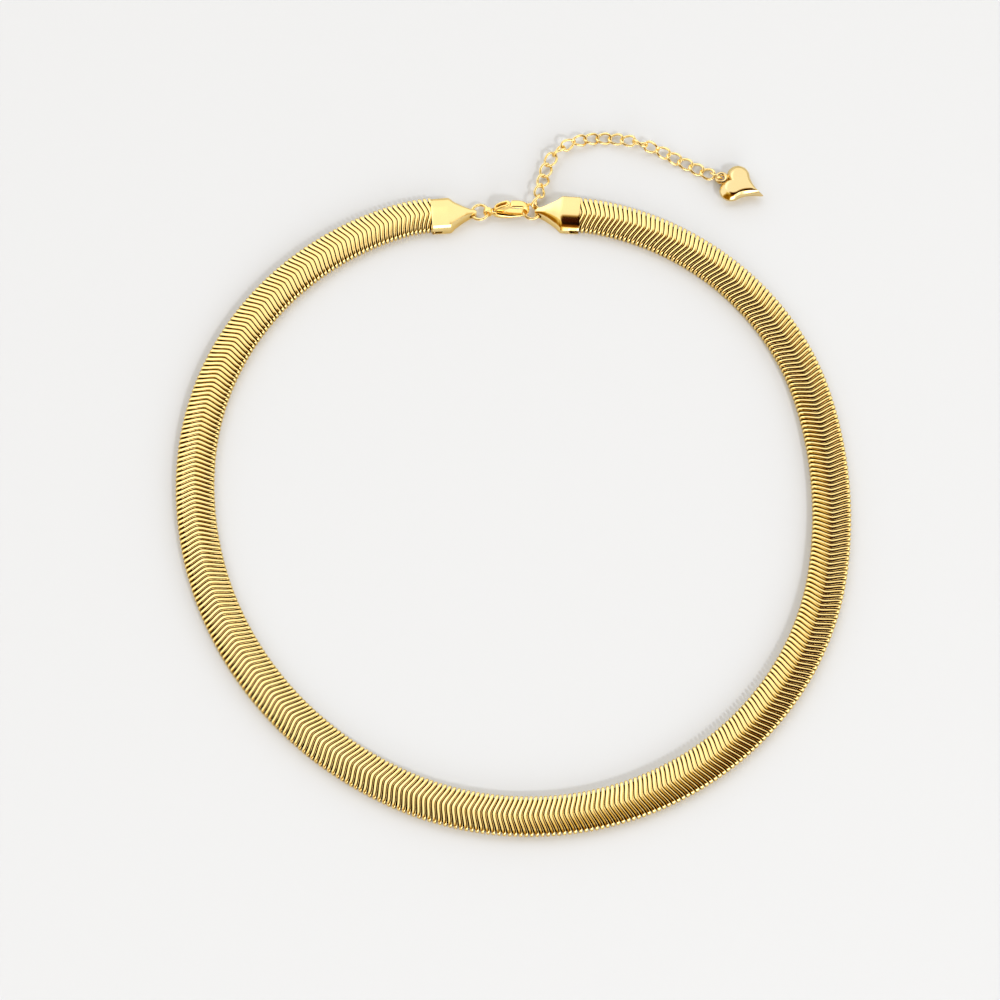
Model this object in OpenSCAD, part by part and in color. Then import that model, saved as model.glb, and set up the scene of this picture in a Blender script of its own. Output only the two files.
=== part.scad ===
// Herringbone chain necklace, lying flat in a closed loop.
// The origin is the middle of the loop, on the surface it lies on. The clasp is at +Y.

/* [Loop] */
// Length round the whole loop with its fastening closed
loop_len = 406; // [380:2:440]

/* [Band] */
// Width of the woven band
band_w = 7.8; // [7:0.1:9]
// Thickness of the woven band
band_t = 2.2; // [2:0.1:2.4]
// How much the middle of the band stands above its shoulders
band_crown = 0.2; // [0.1:0.05:0.3]
// Length of the thin tail that each end of the band has inside its cap
tail_len = 3; // [2:0.1:4]
// Thickness of the tail
tail_t = 0.9; // [0.6:0.1:1.1]

/* [End caps] */
// Length of a cap, from its mouth to the end of its tip
cap_len = 9.4; // [8:0.1:11]
// Height of a cap at its mouth
cap_h = 2.6; // [2.5:0.1:3]
// Sheet that the caps are folded from
cap_wall = 0.35; // [0.3:0.05:0.4]
// Radius of the cross hole in a cap's tip
cap_eye_r = 0.55; // [0.5:0.05:0.55]

/* [Jump rings] */
// Outer diameter of a jump ring
ring_od = 4; // [3.8:0.1:4.4]
// Wire of a jump ring
ring_wire = 0.6; // [0.5:0.05:0.65]

/* [Clasp] */
// Length of the clasp from the end of its eye to the end of its hook
clasp_len = 9.8; // [9.4:0.1:11]
// Height of the claw across its mouth
clasp_h = 3.9; // [3.7:0.1:4.4]
// Widest thickness of the claw
clasp_t = 2.6; // [2.4:0.1:3]
// How far the clasp leans back from upright
clasp_lean = 14; // [5:1:20]
// How far the lever opens into the claw
lever_travel = 18; // [10:1:20]

/* [Extender] */
// Number of curb links
link_count = 19; // [12:1:24]
// Outer length of a link
link_len = 3.6; // [3.5:0.1:4]
// Outer width of a link
link_w = 2.85; // [2.7:0.05:3.1]
// Wire of a link
link_wire = 0.4; // [0.36:0.02:0.42]

/* [Heart drop] */
// Length of the heart from its notch to its point
heart_len = 7.9; // [6.5:0.1:9]
// Width of the heart across its lobes
heart_w = 8.7; // [7.5:0.1:10]
// Thickness of the heart at its fullest
heart_t = 2.8; // [2.4:0.1:3.4]
// Outer diameter of the soldered loop
heart_loop_od = 2.9; // [2.7:0.1:3.2]
// Wire of the soldered loop
heart_loop_wire = 0.75; // [0.6:0.05:0.8]
// Outer diameter of the ring that holds the heart
heart_ring_od = 3.05; // [3:0.05:3.4]
// Wire of that ring
heart_ring_wire = 0.45; // [0.4:0.05:0.5]

/* [Hidden] */
$fn = 48;
fit_gap = 0.1;          // play between pieces that seat in each other
face_gap = 0.05;        // gap between faces that meet
gold = [0.93, 0.78, 0.38];
pale_gold = [0.98, 0.88, 0.55];

// Route of the loop: arcs from the middle of the clasp, clockwise seen from above.
// Columns: turn in degrees, radius as a share of the mean radius (0 where it closes the loop).
loop_arcs = [[6, 2.4], [6, 0.46], [64, 0.87], [24, 1.35], [104, 0], [69, 1.1], [68, 0], [13, 0.46], [6, 2.4]];
arc_last = len(loop_arcs) - 1;
function turn_before(i) = i <= 0 ? 0 : loop_arcs[i - 1][0] + turn_before(i - 1);
function arc_chord(i) =
    let (a = turn_before(i), b = turn_before(i + 1)) [sin(b) - sin(a), cos(b) - cos(a)];
function sum(list, i = 0) = i >= len(list) ? 0 * list[0] : list[i] + sum(list, i + 1);
open_chord = sum([for (i = [0:arc_last]) loop_arcs[i][1] * arc_chord(i)]);
closing = [for (i = [0:arc_last]) if (loop_arcs[i][1] == 0) i];
chord_a = arc_chord(closing[0]);
chord_b = arc_chord(closing[1]);
chord_det = chord_a[0] * chord_b[1] - chord_a[1] * chord_b[0];
share_a = -(open_chord[0] * chord_b[1] - open_chord[1] * chord_b[0]) / chord_det;
share_b = -(chord_a[0] * open_chord[1] - chord_a[1] * open_chord[0]) / chord_det;
function arc_share(i) = i == closing[0] ? share_a : i == closing[1] ? share_b : loop_arcs[i][1];
mean_r = loop_len * 180 / PI / sum([for (i = [0:arc_last]) loop_arcs[i][0] * arc_share(i)]);
function arc_r(i) = arc_share(i) * mean_r;
function arc_len(i) = loop_arcs[i][0] * PI / 180 * arc_r(i);
function len_before(i) = i <= 0 ? 0 : arc_len(i - 1) + len_before(i - 1);
function corner(i) = i <= 0 ? [0, 0] : corner(i - 1) + arc_r(i - 1) * arc_chord(i - 1);
loop_depth = -min([for (i = [0:arc_last]) let (a = turn_before(i))
    a < 180 && turn_before(i + 1) > 180 ? corner(i)[1] - arc_r(i) * (1 + cos(a)) : corner(i)[1]]);
function arc_at(s, i = 0) = i == arc_last || s < len_before(i + 1) ? i : arc_at(s, i + 1);
function route_turn(s) = let (i = arc_at(s)) turn_before(i) + (s - len_before(i)) / arc_r(i) * 180 / PI;
function route_xy(s) =
    let (i = arc_at(s), a = turn_before(i), b = route_turn(s))
    corner(i) + arc_r(i) * [sin(b) - sin(a), cos(b) - cos(a)] + [0, loop_depth / 2];

// Stations of the fastening, measured along the route from the middle of the clasp
ring_r = (ring_od - ring_wire) / 2;
clasp_eye_x = -clasp_len / 2 + 1;
clasp_grip_x = clasp_len / 2 - 1.45;
ring_seat = 0.08;       // how far a ring sits off the middle of a cap's hole, as it curves through it
cap_eye_left = 2 * ring_r - clasp_eye_x - ring_seat;
cap_eye_right = 2 * ring_r + clasp_grip_x - ring_seat;
cap_tip_over = cap_eye_r + cap_wall;
cap_reach = cap_len - cap_tip_over;
mouth_left = cap_eye_left + cap_reach;
mouth_right = cap_eye_right + cap_reach;
band_from = mouth_right + fit_gap;
band_to = loop_len - mouth_left - fit_gap;

// Heights of the holes over the surface, and of the hook's grip before the clasp leans back
cap_eye_z = cap_h * 0.36;
eye_r = 0.98;
eye_bore_r = 0.6;
eye_t = 1.1;
eye_up = 1;             // height of the eye in the clasp's own drawing
grip_up = 1.6;          // height there at which the hook holds its ring
clasp_eye_z = eye_r * cos(clasp_lean) + eye_t / 2 * sin(clasp_lean) + 0.01;
grip = [0, clasp_eye_z] + (grip_up - eye_up) * [sin(clasp_lean), cos(clasp_lean)];

// The way each cap lies, as the turn of the route half-way along it
function cap_turn(side) =
    route_turn(side > 0 ? (mouth_right + cap_eye_right) / 2 : loop_len - (mouth_left + cap_eye_left) / 2);

// Places children with +X along the cap, from its mouth to its tip
function cap_axis(side) = (side > 0 ? 180 : 0) - cap_turn(side);
function cap_xy(side, along) = route_xy(side > 0 ? cap_eye_right : loop_len - cap_eye_left)
    + (along - cap_reach) * [cos(cap_axis(side)), sin(cap_axis(side))];
module at_cap(side) {
    mouth = cap_xy(side, 0);
    translate([mouth[0], mouth[1], 0]) rotate([0, 0, cap_axis(side)]) children();
}

cap_w = band_w + 0.1;
tail_z = cap_wall + fit_gap;
tail_w = cap_w - 2 * (cap_wall + 3 * fit_gap);

// Band: one section swept along the route, with a thin tail at each end inside its cap
band_step = 4;
shoulder = (band_w - band_t) / 2;
shoulder_angles = [-45, 0, 45];
band_section = concat([[-shoulder, 0], [shoulder, 0]],
    [for (a = shoulder_angles) [shoulder + band_t / 2 * cos(a), band_t / 2 * (1 + sin(a))]],
    [for (k = [2:-1:-2]) [shoulder * k / 2, band_t - band_crown * k * k / 4]],
    [for (k = [2:-1:0]) let (a = shoulder_angles[k])
        [-shoulder - band_t / 2 * cos(a), band_t / 2 * (1 + sin(a))]]);
tail_section = [for (p = band_section) [p[0] * tail_w / band_w, tail_z + p[1] * tail_t / band_t]];

// A section of the band: across to the outside of the loop, and up
function placed(section, at, turn) =
    [for (p = section) [at[0] + p[0] * sin(turn), at[1] + p[0] * cos(turn), p[1]]];
function band_ring(s) = placed(band_section, route_xy(s), route_turn(s));
function tail_ring(side, in) =
    let (turn = cap_turn(side), start = route_xy(side > 0 ? band_from : band_to))
    placed(tail_section, start + in * side * [-cos(turn), sin(turn)], turn);

module band() {
    count = ceil((band_to - band_from) / band_step);
    color(gold) loft(concat([tail_ring(1, tail_len), tail_ring(1, face_gap)],
        [placed(band_section, route_xy(band_from), cap_turn(1))],
        [for (k = [1:count - 1]) band_ring(band_from + (band_to - band_from) * k / count)],
        [placed(band_section, route_xy(band_to), cap_turn(-1))],
        [tail_ring(-1, face_gap), tail_ring(-1, tail_len)]));
}

// Cap: sections from the mouth to the tip.
// Columns: place as a share of the length, width and height as shares of those at the mouth
cap_sections = [[0, 1, 1], [0.4, 1, 1], [0.5, 0.79, 0.97], [0.57, 0.69, 0.95], [0.66, 0.56, 0.92],
    [0.78, 0.36, 0.85], [0.89, 0.23, 0.76], [1, 0.18, 0.7]];
// Corners of the mouth's section. Columns: place across and height, as shares of width and height
cap_corners = [[-0.5, 0], [0.5, 0], [0.5, 0.24], [0.4, 0.73], [0.16, 1], [-0.42, 1], [-0.5, 0.72]];
cap_hollow = 0.39;      // length of the hollow as a share of the cap's

function lofted(rings) = let (n = len(rings[0]), m = len(rings)) [
    [for (ring = rings) each ring],
    concat([[for (j = [0:n - 1]) j]],
        [for (i = [0:m - 2], j = [0:n - 1]) [i * n + j, (i + 1) * n + j, i * n + (j + 1) % n]],
        [for (i = [0:m - 2], j = [0:n - 1]) let (k = (j + 1) % n)
            [i * n + k, (i + 1) * n + j, (i + 1) * n + k]],
        [[for (j = [n - 1:-1:0]) (m - 1) * n + j]])];

module loft(rings) {
    body = lofted(rings);
    polyhedron(body[0], body[1], convexity = 4);
}

module cap() {
    difference() {
        loft([for (s = cap_sections)
            [for (c = cap_corners) [s[0] * cap_len, c[0] * s[1] * cap_w, c[1] * s[2] * cap_h]]]);
        translate([-1, 0, cap_wall]) rotate([90, 0, 90]) linear_extrude(1 + cap_hollow * cap_len)
            polygon([for (c = cap_corners) [c[0] * (cap_w - 2 * cap_wall), c[1] * (cap_h - 2 * cap_wall)]]);
        translate([cap_reach, 0, cap_eye_z]) rotate([90, 0, 0])
            cylinder(r = cap_eye_r, h = cap_w, center = true, $fn = 32);
    }
}

module end_cap_left() { color(pale_gold) at_cap(-1) cap(); }
module end_cap_right() { color(pale_gold) at_cap(1) cap(); }

// Jump rings, tilted a little between the two holes they join
module ring(od, wire) {
    rotate_extrude($fn = 64) translate([(od - wire) / 2, 0]) circle(d = wire, $fn = 20);
}

function ring_xy(side) = cap_xy(side, cap_reach + ring_r - ring_seat);
module jump_ring(side, from_z, to_z) {
    mid = ring_xy(side);
    tilt = atan((from_z - to_z) / (2 * ring_r));
    color(gold) translate([mid[0], mid[1], (from_z + to_z) / 2]) rotate([0, tilt, 0])
        ring(ring_od, ring_wire);
}
module jump_ring_left() { jump_ring(-1, cap_eye_z, clasp_eye_z); }
module jump_ring_right() { jump_ring(1, grip[1], cap_eye_z); }

// Clasp: drawn upright, +X to the hook and +Z up, then leaned back about its eye
module at_clasp() {
    mid = route_xy(0);
    translate([mid[0], mid[1], clasp_eye_z]) rotate([-clasp_lean, 0, 0]) translate([0, 0, -eye_up])
        children();
}

// Stations of the claw from the neck round to the tip of the hook.
// Columns: along as a share of the length, up as a share of the height, depth of the wire in the
// claw's plane and its thickness, as shares of the height and of the thickness
claw = [[-0.33, 0.27, 0.2, 0.42], [-0.28, 0.28, 0.3, 0.7], [-0.22, 0.27, 0.38, 0.92], [-0.14, 0.24, 0.38, 1],
    [-0.04, 0.19, 0.3, 1], [0.08, 0.145, 0.23, 0.92], [0.2, 0.12, 0.2, 0.84], [0.31, 0.13, 0.2, 0.78],
    [0.41, 0.23, 0.19, 0.7], [0.452, 0.45, 0.18, 0.64], [0.42, 0.65, 0.19, 0.66], [0.34, 0.8, 0.2, 0.74],
    [0.23, 0.86, 0.19, 0.76], [0.08, 0.87, 0.18, 0.72]];
claw_sides = 14;

function unit(v) = v / norm(v);
function claw_xz(i) = [claw[i][0] * clasp_len, claw[i][1] * clasp_h];
function claw_dir(i) = unit(claw_xz(min(i + 1, len(claw) - 1)) - claw_xz(max(i - 1, 0)));
function claw_ring(i) = let (p = claw_xz(i), d = claw_dir(i)) [for (k = [0:claw_sides - 1])
    let (a = 360 * k / claw_sides, depth = claw[i][2] * clasp_h / 2 * cos(a),
        out = -claw[i][3] * clasp_t / 2 * sin(a))
    [p[0] - d[1] * depth, out, p[1] + d[0] * depth]];

pivot = [-0.215 * clasp_len, 0.33 * clasp_h];
pin_r = 0.28;
pin_gap = 0.05;
lever_t = 1;            // blade of the lever, between the cheeks
thumb_t = 1.7;          // thumb piece on top of the blade
cheek_gap = 0.08;
nose_gap = 0.1;

// Outline of the lever in the claw's plane, from its heel under the pivot to its nose and back.
// Columns: along and up, as shares of the clasp's length and height
lever_low = [[-0.275, 0.3], [-0.24, 0.2], [-0.19, 0.2], [-0.14, 0.33], [-0.04, 0.5], [0.06, 0.66],
    [0.155, 0.76]];
lever_high = [[0.09, 0.93], [0.04, 1], [-0.04, 0.98], [-0.14, 0.86], [-0.22, 0.68], [-0.275, 0.47]];
slot = [[-0.302, 0.15], [-0.18, 0.15], [-0.133, 0.24], [-0.02, 0.32], [-0.02, 1.05], [-0.302, 1.05]];
thumb_low = 0.56;       // height over which the lever is as thick as its thumb piece
function lever_xz(list) = [for (p = list) [p[0] * clasp_len, p[1] * clasp_h]];
nose = lever_xz([[0.155, 0.76], [0.09, 0.93]]);
nose_out = unit([nose[1][1] - nose[0][1], nose[0][0] - nose[1][0]]);

// Extrudes a profile drawn in the claw's plane to both sides of it
module across(t) {
    rotate([90, 0, 0]) linear_extrude(t, center = true) children();
}

module clasp_body() {
    color(gold) at_clasp() {
        difference() {
            union() {
                loft([for (i = [0:len(claw) - 1]) claw_ring(i)]);
                across(eye_t) translate([clasp_eye_x, eye_up]) circle(r = eye_r, $fn = 40);
            }
            translate([clasp_eye_x, 0, eye_up]) rotate([90, 0, 0])
                cylinder(r = eye_bore_r, h = 3, center = true, $fn = 40);
            across(lever_t + 2 * cheek_gap) polygon(lever_xz(slot));
            across(3) polygon([nose[0] + nose_gap * nose_out, nose[1] + nose_gap * nose_out,
                nose[1] - [1, -1], nose[0] - [1, 1], nose[0] + [0.6, -0.6]]);
        }
        translate([pivot[0], 0, pivot[1]]) rotate([90, 0, 0])
            cylinder(r = pin_r, h = 1.5, center = true, $fn = 32);
    }
}

module clasp_lever() {
    color(pale_gold) at_clasp() difference() {
        union() {
            across(lever_t) polygon(lever_xz(concat(lever_low, lever_high)));
            across(thumb_t) intersection() {
                polygon(lever_xz(concat(lever_low, lever_high)));
                translate([-clasp_len / 2, thumb_low * clasp_h]) square([clasp_len, clasp_h]);
            }
        }
        translate([pivot[0], 0, pivot[1]]) rotate([90, 0, 0])
            cylinder(r = pin_r + pin_gap, h = 3, center = true, $fn = 32);
        translate([-1.35, -0.2, 0.8 * clasp_h]) cube([1.9, 0.4, clasp_h]);
    }
}

// Extender: it leaves the right ring, follows its headings, and turns over on its way.
// Columns of the headings: place as a share of its links, direction from +X.
// Columns of the turnovers: place as a share of its links, links that the turnover takes.
extender_from = 66;     // where on the right ring the first link hangs
extender_headings = [[0.05, 68], [0.16, 78], [0.21, 75], [0.37, 27], [0.47, 11], [0.58, -11], [0.75, -25],
    [1, -29]];
turnovers = [[0.26, 3], [0.63, 3]];
first_rolls = [-90, 40];
link_pitch = link_len - 2 * link_wire - 0.18;
link_twist = 0.34;
link_low = link_wire / 2 + link_twist;
max_rise = 0.45;        // rise along one link

function heading(t, k = 0) = k >= len(extender_headings) - 2 || t < extender_headings[k + 1][0] ?
    let (a = extender_headings[k], b = extender_headings[k + 1])
    a[1] + (b[1] - a[1]) * (t - a[0]) / (b[0] - a[0]) : heading(t, k + 1);
function link_heading(i) = heading(i / link_count);
function link_roll(i) = i >= 1 && i <= len(first_rolls) ? first_rolls[i - 1] :
    -180 * sum([for (t = turnovers) min(1, max(0, (i - round(t[0] * link_count)) / t[1]))]);
function link_need(i) = i > link_count ? heart_t / 2 - link_wire : link_wire / 2
    + (link_w - link_wire) / 2 * abs(sin(link_roll(i))) + link_twist * abs(cos(link_roll(i)));

// Where each link meets the next: place on the surface, and height
function joint_xy(i) = i == 0 ? ring_xy(1) + 1.22 * [cos(extender_from), sin(extender_from)]
    : joint_xy(i - 1) + link_pitch * [cos(link_heading(i)), sin(link_heading(i))];
function joint_z(i) = link_low + max([for (k = [1:link_count + 1])
    max(0, link_need(k) - link_low - max_rise * max(0, i - k, k - 1 - i))]);

link_rings = 16;
link_sides = 6;
function link_point(t) = [(link_len - link_wire) / 2 * cos(t), (link_w - link_wire) / 2 * sin(t),
    link_twist * sin(2 * t)];
function link_ring(t) =
    let (p = link_point(t), d = unit(link_point(t + 1) - link_point(t - 1)),
        side = unit(cross(d, [0, 0, 1])), up = cross(side, d))
    [for (k = [0:link_sides - 1]) let (a = 360 * k / link_sides)
        p + link_wire / 2 * (cos(a) * side + sin(a) * up)];

module curb_link() {
    points = [for (i = [0:link_rings - 1]) each link_ring(360 * i / link_rings)];
    n = link_sides;
    faces = [for (i = [0:link_rings - 1], j = [0:n - 1], half = [0, 1])
        let (a = i * n + j, b = i * n + (j + 1) % n, c = (i + 1) % link_rings * n + j,
            d = (i + 1) % link_rings * n + (j + 1) % n)
        half == 0 ? [a, c, b] : [b, c, d]];
    polyhedron(points, faces, convexity = 4);
}

module extender_link(i) {
    from = joint_xy(i - 1);
    rise = joint_z(i) - joint_z(i - 1);
    color(gold) translate([from[0], from[1], joint_z(i - 1)])
        rotate([0, -asin(rise / link_pitch), link_heading(i)]) translate([link_pitch / 2, 0, 0])
        rotate([link_roll(i), 0, 0]) curb_link();
}

// Heart drop, lying flat. Its loop is soldered into the notch between the lobes
heart_heading = -26;
heart_z = heart_t / 2;
heart_ring_roll = -60;
function ahead(p, reach, angle) = [p[0] + reach * cos(angle), p[1] + reach * sin(angle), heart_z];
heart_ring_mid = ahead(joint_xy(link_count), 0.18 * link_len, heading(1) + 15);
heart_loop_mid = ahead(heart_ring_mid, 0.42 * heart_loop_od, heading(1));
heart_loop_reach = 1.7;

lobe_r = 0.271 * heart_w;
lobe_mid = [0.53 * lobe_r, heart_w / 2 - lobe_r];
lobe_end = lobe_mid + lobe_r * [cos(30), sin(30)];
bend_a = lobe_end + 0.21 * heart_len * [0.5, -0.87];
bend_b = [0.74 * heart_len, 0.086 * heart_w];
function bend(t) = pow(1 - t, 3) * lobe_end + 3 * pow(1 - t, 2) * t * bend_a + 3 * (1 - t) * t * t * bend_b
    + pow(t, 3) * [heart_len, 0];
notch_turn = 180 + acos(lobe_mid[0] / lobe_r);
half_heart = concat([for (k = [1:11]) let (a = notch_turn + (30 - notch_turn) * k / 11)
    lobe_mid + lobe_r * [cos(a), sin(a)]], [for (k = [1:5]) bend(k / 6)]);
heart_outline = concat([[lobe_mid[0] + lobe_r * cos(notch_turn), 0]], [for (p = half_heart) [p[0], -p[1]]],
    [[heart_len, 0]], [for (k = [len(half_heart) - 1:-1:0]) half_heart[k]]);
heart_mid = 0.29 * heart_len;
heart_rings = [-72, -50, -28, 0, 28, 50, 72];

module heart_drop() {
    color(pale_gold) translate(heart_loop_mid) rotate([0, 0, heart_heading]) {
        ring(heart_loop_od, heart_loop_wire);
        translate([heart_loop_reach, 0, 0]) loft([for (a = heart_rings) [for (p = heart_outline)
            [heart_mid + (p[0] - heart_mid) * cos(a), p[1] * cos(a), heart_t / 2 * sin(a) / sin(72)]]]);
    }
}

module heart_ring() {
    color(gold) translate(heart_ring_mid) rotate([0, 0, heading(1)]) rotate([heart_ring_roll, 0, 0])
        ring(heart_ring_od, heart_ring_wire);
}

function link_name(i) = str("extender_link_", i < 10 ? "0" : "", i);
link_names = [for (i = [1:link_count]) link_name(i)];

band();
end_cap_left();
end_cap_right();
jump_ring_left();
jump_ring_right();
clasp_body();
clasp_lever();
for (i = [1:link_count]) extender_link(i);
heart_ring();
heart_drop();
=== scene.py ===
"""Looks of the herringbone chain necklace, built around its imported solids.

Every piece is drawn in millimetres and turned into metres when it is finished.
"""

import logging
import math
from dataclasses import dataclass
from enum import Enum
from typing import Callable, ClassVar, Iterable, Sequence

import bmesh
import bpy
from mathutils import Matrix, Vector


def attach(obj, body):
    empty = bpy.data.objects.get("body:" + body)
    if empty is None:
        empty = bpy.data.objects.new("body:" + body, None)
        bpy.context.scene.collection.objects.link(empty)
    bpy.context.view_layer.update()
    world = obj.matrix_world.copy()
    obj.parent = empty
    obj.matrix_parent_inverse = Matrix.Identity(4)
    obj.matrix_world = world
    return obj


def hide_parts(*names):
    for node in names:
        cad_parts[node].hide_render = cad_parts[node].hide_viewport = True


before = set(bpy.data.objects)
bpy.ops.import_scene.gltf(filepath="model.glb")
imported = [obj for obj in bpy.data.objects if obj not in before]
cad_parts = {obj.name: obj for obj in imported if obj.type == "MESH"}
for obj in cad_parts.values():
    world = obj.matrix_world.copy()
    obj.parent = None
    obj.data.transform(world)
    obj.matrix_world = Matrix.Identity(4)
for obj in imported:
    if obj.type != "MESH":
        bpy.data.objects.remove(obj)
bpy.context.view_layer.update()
LOG = logging.getLogger("necklace")

Piece = bpy.types.Object
Ring = list[Vector]
Pair = tuple[float, float]
Triple = tuple[float, float, float]


def sin(degrees: float) -> float:
    """Returns the sine of an angle in degrees."""
    return math.sin(math.radians(degrees))


def cos(degrees: float) -> float:
    """Returns the cosine of an angle in degrees."""
    return math.cos(math.radians(degrees))


def ray(degrees: float) -> Vector:
    """Returns the flat unit vector that points along a heading."""
    return Vector((cos(degrees), sin(degrees)))


def spin(degrees: float, axis: str) -> Matrix:
    """Returns a turn about an axis, in degrees."""
    return Matrix.Rotation(math.radians(degrees), 4, axis)


def between(table: Sequence[Sequence[float]], at: float) -> list[float]:
    """Reads a table at a place between its rows, along a smooth curve.

    Args:
        table: Rows whose first column is the place, in rising order.
        at: The place to read.

    Returns:
        The other columns at that place.
    """
    last = len(table) - 1
    row = max(i for i in range(last) if i == 0 or table[i][0] <= at)
    a, b = table[row], table[row + 1]
    before, after = table[max(row - 1, 0)], table[min(row + 2, last)]
    t = (at - a[0]) / (b[0] - a[0])
    values = []
    for k in range(1, len(a)):
        lead = (b[k] - before[k]) / max(b[0] - before[0], 1e-6) * (b[0] - a[0])
        trail = (after[k] - a[k]) / max(after[0] - a[0], 1e-6) * (b[0] - a[0])
        values.append(
            (2 * t**3 - 3 * t**2 + 1) * a[k]
            + (t**3 - 2 * t**2 + t) * lead
            + (3 * t**2 - 2 * t**3) * b[k]
            + (t**3 - t**2) * trail
        )
    return values


class Body(Enum):
    """The rigid bodies that pieces ride on."""

    NECKLACE = "necklace"
    LEVER = "lever"


class Cut(Enum):
    """Ways in which one solid works on another."""

    AWAY = "DIFFERENCE"
    TOGETHER = "UNION"


class Bench:
    """The modelling steps that the pieces share."""

    @staticmethod
    def clear() -> None:
        """Leaves edit mode and deselects everything."""
        if bpy.context.mode != "OBJECT":
            bpy.ops.object.mode_set(mode="OBJECT")
        bpy.ops.object.select_all(action="DESELECT")

    @staticmethod
    def hold(piece: Piece) -> None:
        """Makes a piece the only selected one, and the active one."""
        Bench.clear()
        piece.select_set(True)
        bpy.context.view_layer.objects.active = piece

    @staticmethod
    def named(name: str) -> Piece:
        """Names the primitive that was just added and opens it in edit mode.

        Args:
            name: Name for the piece and its mesh.

        Returns:
            The piece.
        """
        piece = bpy.context.active_object
        piece.name = piece.data.name = name
        Bench.hold(piece)
        bpy.ops.object.mode_set(mode="EDIT")
        return piece

    @staticmethod
    def pick(piece: Piece, test: Callable[[bmesh.types.BMVert], bool]) -> None:
        """Selects the vertices of an open piece that pass a test.

        Args:
            piece: Piece in edit mode.
            test: Says whether a vertex is wanted.
        """
        bpy.ops.mesh.select_all(action="DESELECT")
        shape = bmesh.from_edit_mesh(piece.data)
        for v in shape.verts:
            if test(v):
                v.select = True
        shape.select_flush(True)
        bmesh.update_edit_mesh(piece.data)

    @staticmethod
    def settle(piece: Piece, here: Ring, there: Ring) -> None:
        """Moves the selected ring of vertices to its station.

        Args:
            piece: Piece in edit mode, with one ring selected.
            here: Where the ring's points are.
            there: Where each of them goes.
        """
        shape = bmesh.from_edit_mesh(piece.data)
        for v in (v for v in shape.verts if v.select):
            k = min(range(len(here)), key=lambda i: (here[i] - v.co).length_squared)
            v.co = there[k]
        bmesh.update_edit_mesh(piece.data)

    @staticmethod
    def loft(name: str, rings: Sequence[Ring]) -> Piece:
        """Extrudes a filled ring through its stations.

        Args:
            name: Name for the piece.
            rings: The stations, each a ring of as many points.

        Returns:
            The closed piece, in object mode.
        """
        Bench.clear()
        bpy.ops.mesh.primitive_circle_add(vertices=len(rings[0]), radius=1, fill_type="NGON")
        piece = Bench.named(name)
        shape = bmesh.from_edit_mesh(piece.data)
        shape.verts.ensure_lookup_table()
        start = [v.co.copy() for v in shape.verts]
        bpy.ops.mesh.select_all(action="SELECT")
        Bench.settle(piece, start, list(rings[0]))
        for here, there in zip(rings, rings[1:]):
            bpy.ops.mesh.extrude_region_move()
            Bench.settle(piece, list(here), list(there))
        Bench.outward(piece)
        return piece

    @staticmethod
    def outward(piece: Piece) -> None:
        """Turns all faces of an open piece outwards and closes it."""
        bpy.ops.mesh.select_all(action="SELECT")
        bpy.ops.mesh.normals_make_consistent(inside=False)
        bpy.ops.object.mode_set(mode="OBJECT")

    @staticmethod
    def slab(name: str, outline: Iterable[Pair], thick: float) -> Piece:
        """Extrudes an outline in the XZ plane to both sides of it.

        Args:
            name: Name for the piece.
            outline: Points along and up.
            thick: Thickness across.

        Returns:
            The closed piece.
        """
        points = list(outline)
        return Bench.loft(name, [[Vector((x, side * thick / 2, z)) for x, z in points] for side in (-1, 1)])

    @staticmethod
    def rod(radius: float, length: float, at: Vector, sides: int = 48) -> Piece:
        """Makes a rod across the piece, to add or to bore with.

        Args:
            radius: Radius of the rod.
            length: Length along Y.
            at: Its middle.
            sides: Sides of its circle.

        Returns:
            The rod.
        """
        Bench.clear()
        bpy.ops.mesh.primitive_cylinder_add(
            vertices=sides, radius=radius, depth=length, location=at, rotation=(math.pi / 2, 0, 0)
        )
        rod = bpy.context.active_object
        bpy.ops.object.transform_apply(location=True, rotation=True, scale=True)
        return rod

    @staticmethod
    def modify(piece: Piece, kind: str, **settings: object) -> None:
        """Adds a modifier to a piece, sets it and applies it.

        Args:
            piece: The piece.
            kind: Type of the modifier.
            **settings: Its settings.
        """
        Bench.hold(piece)
        bpy.ops.object.modifier_add(type=kind)
        modifier = piece.modifiers[-1]
        for key, value in settings.items():
            setattr(modifier, key, value)
        bpy.ops.object.modifier_apply(modifier=modifier.name)

    @staticmethod
    def cut(piece: Piece, tool: Piece, how: Cut) -> None:
        """Works one solid on another and takes the tool away.

        Args:
            piece: The solid that stays.
            tool: The solid that works on it.
            how: What it does.
        """
        Bench.modify(piece, "BOOLEAN", operation=how.value, solver="EXACT", object=tool)
        bpy.data.objects.remove(tool)

    @staticmethod
    def soften(piece: Piece, width: float, angle: float = 28, segments: int = 2) -> None:
        """Rounds the sharp edges of a piece."""
        Bench.modify(
            piece, "BEVEL", width=width, segments=segments, limit_method="ANGLE", angle_limit=math.radians(angle)
        )

    @staticmethod
    def seat(piece: Piece, place: Matrix) -> None:
        """Sets a piece where it belongs, with its place in its mesh.

        Args:
            piece: The piece, drawn in its own frame.
            place: Where its frame lies on the necklace.
        """
        Bench.hold(piece)
        piece.matrix_world = place
        bpy.ops.object.transform_apply(location=True, rotation=True, scale=True)


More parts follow.
